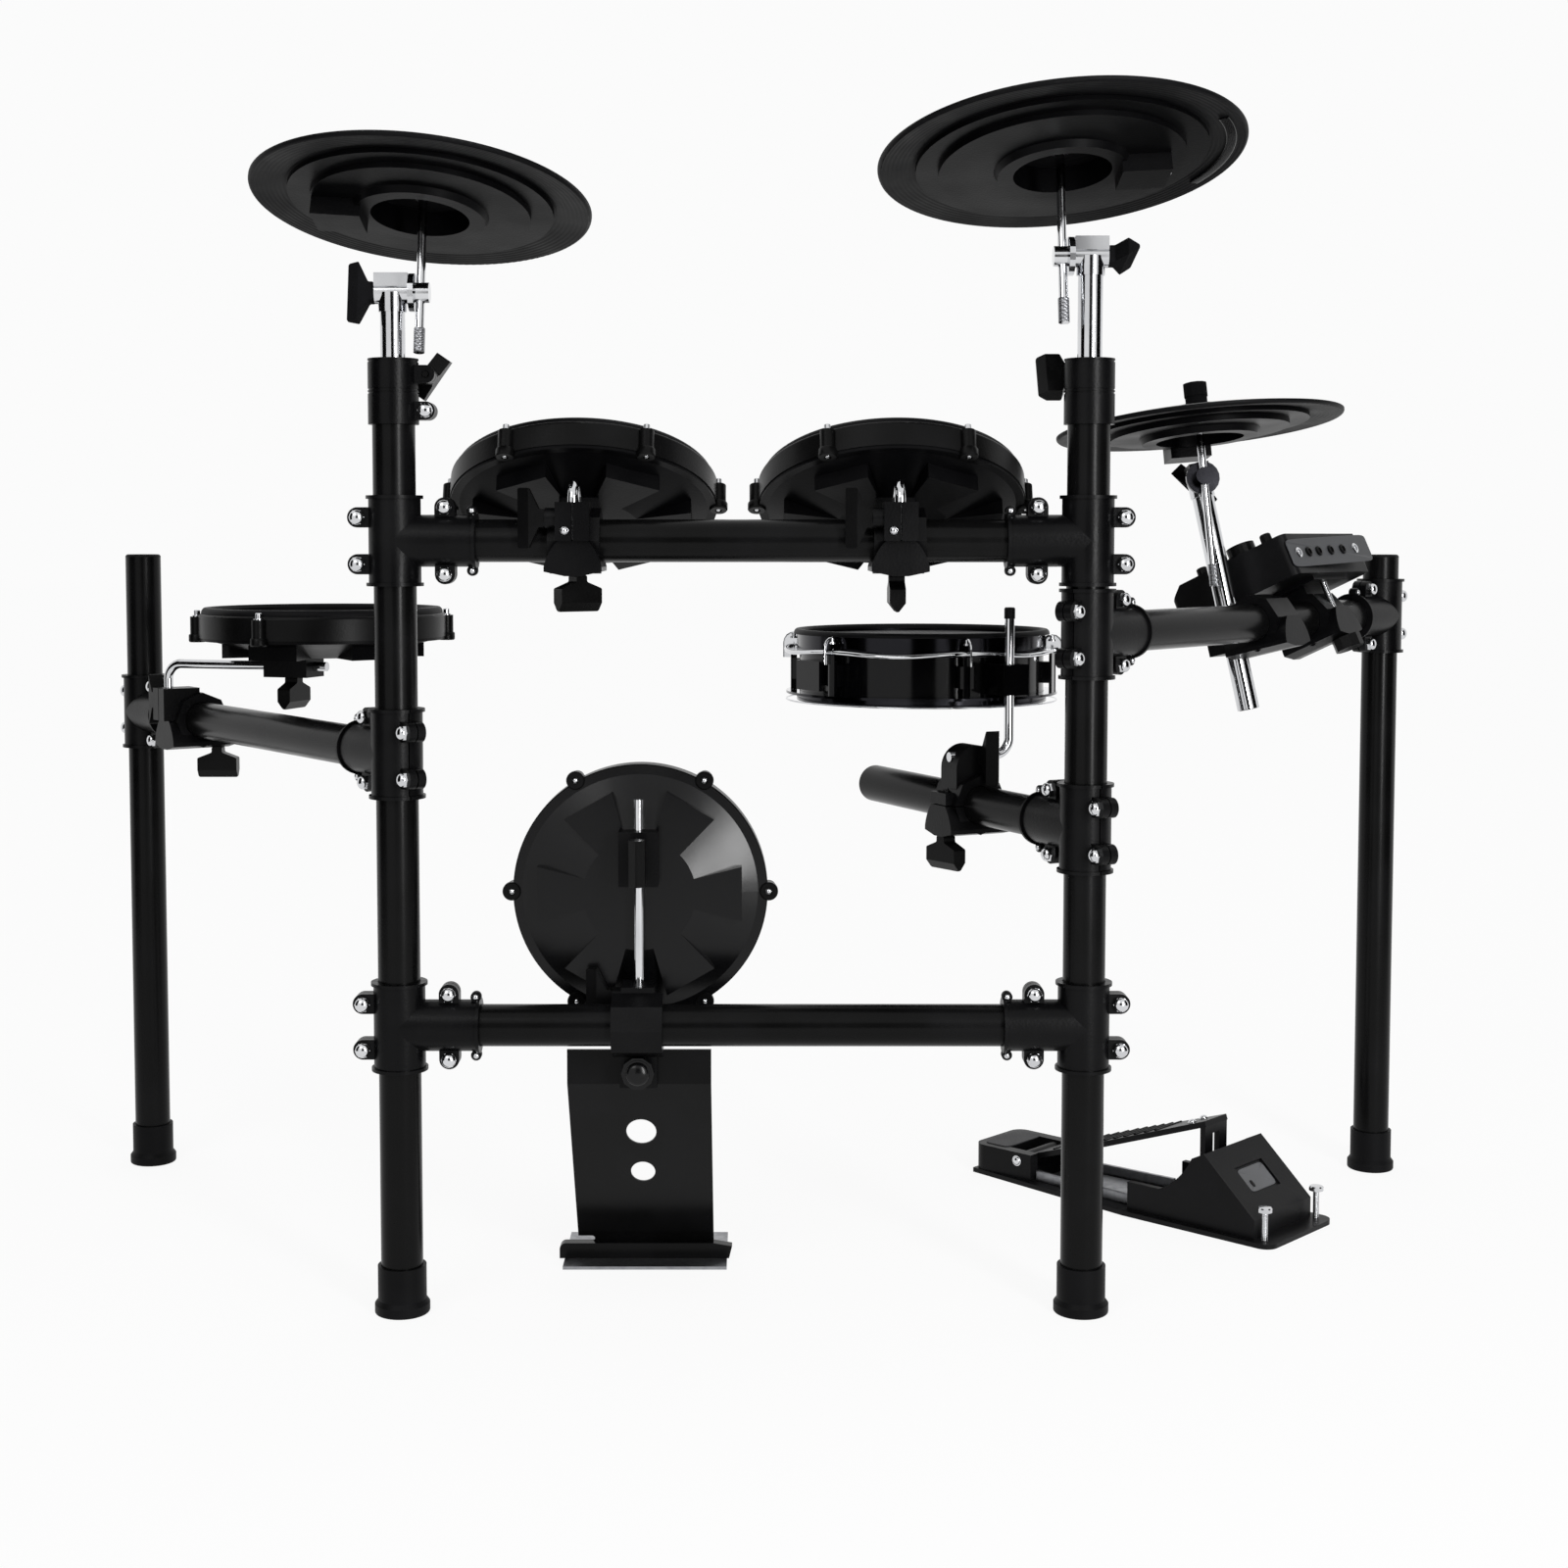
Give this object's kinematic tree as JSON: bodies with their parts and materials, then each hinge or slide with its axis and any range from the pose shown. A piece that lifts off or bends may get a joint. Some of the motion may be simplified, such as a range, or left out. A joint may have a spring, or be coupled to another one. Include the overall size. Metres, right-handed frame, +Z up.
{
  "type": "electronic drum kit",
  "caption": "Electronic drum kit: drum and cymbal pads, sound module and hi-hat pedal on a clamped black tube rack with folding side wings.",
  "frame": {"origin": "on the floor, under the middle of the kit's bounding box", "axes": "+X along the front of the rack to its right seen from the audience, +Y to the drummer, +Z up"},
  "size_m": [1.4356, 0.6692, 1.0874],
  "materials": {
    "black_tube": "satin black powder coat",
    "clamp_plastic": "moulded black",
    "bright_steel": "polished",
    "black_rubber": "matt",
    "pad_plastic": "fine grain black",
    "gloss_black": "polished black",
    "module_plastic": "fine grain dark grey",
    "black_steel": "satin black"
  },
  "bodies": {
    "rack": {"left_upright": "black_tube", "right_upright": "black_tube", "upper_crossbar": "black_tube", "lower_crossbar": "black_tube", "snare_arm": "black_tube", "rack_tee_clamps": "clamp_plastic", "rack_clamp_bolts": "bright_steel", "front_feet": "black_rubber", "pole_collars": "clamp_plastic", "collar_bolts": "bright_steel", "rod_clamps": "clamp_plastic", "clamp_wing_bolts": "clamp_plastic", "kick_tower": "black_steel", "kick_rod": "bright_steel", "pedal_base": "black_steel"},
    "left_wing": {"left_arm": "black_tube", "left_leg": "black_tube", "left_leg_caps": "black_rubber", "left_tee_clamps": "clamp_plastic", "left_clamp_bolts": "bright_steel", "floor_tom_clamp": "clamp_plastic"},
    "right_wing": {"right_arm": "black_tube", "right_leg": "black_tube", "right_leg_caps": "black_rubber", "right_tee_clamps": "clamp_plastic", "right_clamp_bolts": "bright_steel", "hihat_clamp": "clamp_plastic"},
    "kick_pad": {"kick_dish": "pad_plastic", "kick_hoop": "pad_plastic", "kick_head": "black_rubber"},
    "snare_rod": {"snare_rod": "bright_steel"},
    "snare": {"snare_shell": "gloss_black", "snare_hardware": "bright_steel", "snare_head": "black_rubber"},
    "module": {"module_case": "module_plastic", "module_bracket": "clamp_plastic"},
    "module_dial": {"module_dial": "module_plastic"},
    "module_keypad": {"module_keypad": "black_rubber"},
    "footboard": {"pedal_footboard": "black_steel"},
    "left_tom_rod": {"left_tom_rod": "bright_steel"},
    "left_tom": {"left_tom_dish": "pad_plastic", "left_tom_hoop": "pad_plastic", "left_tom_head": "black_rubber"},
    "right_tom_rod": {"right_tom_rod": "bright_steel"},
    "right_tom": {"right_tom_dish": "pad_plastic", "right_tom_hoop": "pad_plastic", "right_tom_head": "black_rubber"},
    "floor_tom_rod": {"floor_tom_rod": "bright_steel"},
    "floor_tom": {"floor_tom_dish": "pad_plastic", "floor_tom_hoop": "pad_plastic", "floor_tom_head": "black_rubber"},
    "crash_pole": {"crash_pole": "bright_steel"},
    "crash_tilter": {"crash_tilter": "bright_steel"},
    "crash_cymbal": {"crash_cymbal": "black_rubber"},
    "ride_pole": {"ride_pole": "bright_steel"},
    "ride_tilter": {"ride_tilter": "bright_steel"},
    "ride_cymbal": {"ride_cymbal": "black_rubber"},
    "hihat_pole": {"hihat_pole": "bright_steel"},
    "hihat_tilter": {"hihat_tilter": "bright_steel"},
    "hihat_cymbal": {"hihat_cymbal": "black_rubber"}
  },
  "joints": [
    {"name": "left_wing_fold", "type": "hinge", "parent": "rack", "child": "left_wing", "pos_m": [-0.32659, -0.19024, 0.004], "axis": [0, 0, 1], "range_deg": [-12, 45]},
    {"name": "right_wing_fold", "type": "hinge", "parent": "rack", "child": "right_wing", "pos_m": [0.29141, -0.19024, 0.004], "axis": [0, 0, 1], "range_deg": [-45, 12]},
    {"name": "left_tom_swivel", "type": "hinge", "parent": "rack", "child": "left_tom_rod", "pos_m": [-0.16559, -0.21824, 0.702], "axis": [0, 0, 1], "range_deg": [-4, 15]},
    {"name": "left_tom_roll", "type": "hinge", "parent": "left_tom_rod", "child": "left_tom", "pos_m": [-0.16559, -0.09799, 0.70493], "axis": [0, 0.9063, -0.4226], "range_deg": [-12, 12]},
    {"name": "right_tom_swivel", "type": "hinge", "parent": "rack", "child": "right_tom_rod", "pos_m": [0.12241, -0.21824, 0.702], "axis": [0, 0, 1], "range_deg": [-15, 4]},
    {"name": "right_tom_roll", "type": "hinge", "parent": "right_tom_rod", "child": "right_tom", "pos_m": [0.12241, -0.09799, 0.70493], "axis": [0, 0.9063, -0.4226], "range_deg": [-12, 12]},
    {"name": "floor_tom_swivel", "type": "hinge", "parent": "left_wing", "child": "floor_tom_rod", "pos_m": [-0.62491, 0.17273, 0.512], "axis": [0, 0, 1], "range_deg": [-12, 15]},
    {"name": "floor_tom_roll", "type": "hinge", "parent": "floor_tom_rod", "child": "floor_tom", "pos_m": [-0.44958, 0.11372, 0.571], "axis": [0.9478, -0.319, 0], "range_deg": [-12, 12]},
    {"name": "kick_height", "type": "slide", "parent": "rack", "child": "kick_pad", "axis": [0, 0, 1], "range_m": [-0.02, 0.03]},
    {"name": "snare_tilt", "type": "hinge", "parent": "rack", "child": "snare_rod", "pos_m": [0.18393, -0.01417, 0.49], "axis": [0.9063, 0.4226, 0], "range_deg": [-10, 10]},
    {"name": "snare_height", "type": "slide", "parent": "snare_rod", "child": "snare", "axis": [0, 0, 1], "range_m": [-0.02, 0.02]},
    {"name": "crash_pole_height", "type": "slide", "parent": "rack", "child": "crash_pole", "axis": [0, 0, 1], "range_m": [0, 0.2]},
    {"name": "crash_tilt", "type": "hinge", "parent": "crash_pole", "child": "crash_tilter", "pos_m": [-0.32659, -0.19024, 0.92], "axis": [1, 0, 0], "range_deg": [-20, 12]},
    {"name": "crash_rock", "type": "hinge", "parent": "crash_tilter", "child": "crash_cymbal", "pos_m": [-0.30159, -0.16596, 1.02113], "axis": [0.9979, -0.0151, -0.0627], "range_deg": [-6, 6], "stiffness_Nm_per_rad": 3},
    {"name": "ride_pole_height", "type": "slide", "parent": "rack", "child": "ride_pole", "axis": [0, 0, 1], "range_m": [-0.02, 0.2]},
    {"name": "ride_tilt", "type": "hinge", "parent": "ride_pole", "child": "ride_tilter", "pos_m": [0.29141, -0.19024, 0.952], "axis": [-1, 0, 0], "range_deg": [-20, 20]},
    {"name": "ride_rock", "type": "hinge", "parent": "ride_tilter", "child": "ride_cymbal", "pos_m": [0.26641, -0.16409, 1.0609], "axis": [-0.9984, -0.013, -0.0543], "range_deg": [-6, 6], "stiffness_Nm_per_rad": 3},
    {"name": "hihat_pole_height", "type": "slide", "parent": "right_wing", "child": "hihat_pole", "axis": [-0.1892, 0.1588, 0.969], "range_m": [-0.01, 0.05]},
    {"name": "hihat_tilt", "type": "hinge", "parent": "hihat_pole", "child": "hihat_tilter", "pos_m": [0.45031, 0.11373, 0.76124], "axis": [-0.0153, -0.9872, 0.1588], "range_deg": [-15, 15]},
    {"name": "hihat_rock", "type": "hinge", "parent": "hihat_tilter", "child": "hihat_cymbal", "pos_m": [0.44427, 0.10054, 0.83607], "axis": [-0.0111, -0.9942, 0.107], "range_deg": [-6, 6], "stiffness_Nm_per_rad": 3},
    {"name": "module_tilt", "type": "hinge", "parent": "right_wing", "child": "module", "pos_m": [0.57874, 0.15218, 0.618], "axis": [0.6428, 0.766, 0], "range_deg": [-10, 10]},
    {"name": "module_dial_turn", "type": "hinge", "parent": "module", "child": "module_dial", "pos_m": [0.50269, 0.13766, 0.68269], "axis": [-0.3237, 0.2717, 0.9063], "range_deg": [-150, 150]},
    {"name": "module_keypad_press", "type": "slide", "parent": "module", "child": "module_keypad", "axis": [-0.3237, 0.2717, 0.9063], "range_m": [-0.0012, 0], "stiffness_N_per_m": 500, "springref_m": 0.001},
    {"name": "footboard_press", "type": "hinge", "parent": "rack", "child": "footboard", "pos_m": [0.31011, 0.24982, 0.024], "axis": [-0.6833, -0.7302, 0], "range_deg": [-7, 0], "stiffness_Nm_per_rad": 6, "springref_deg": 11.46}
  ]
}
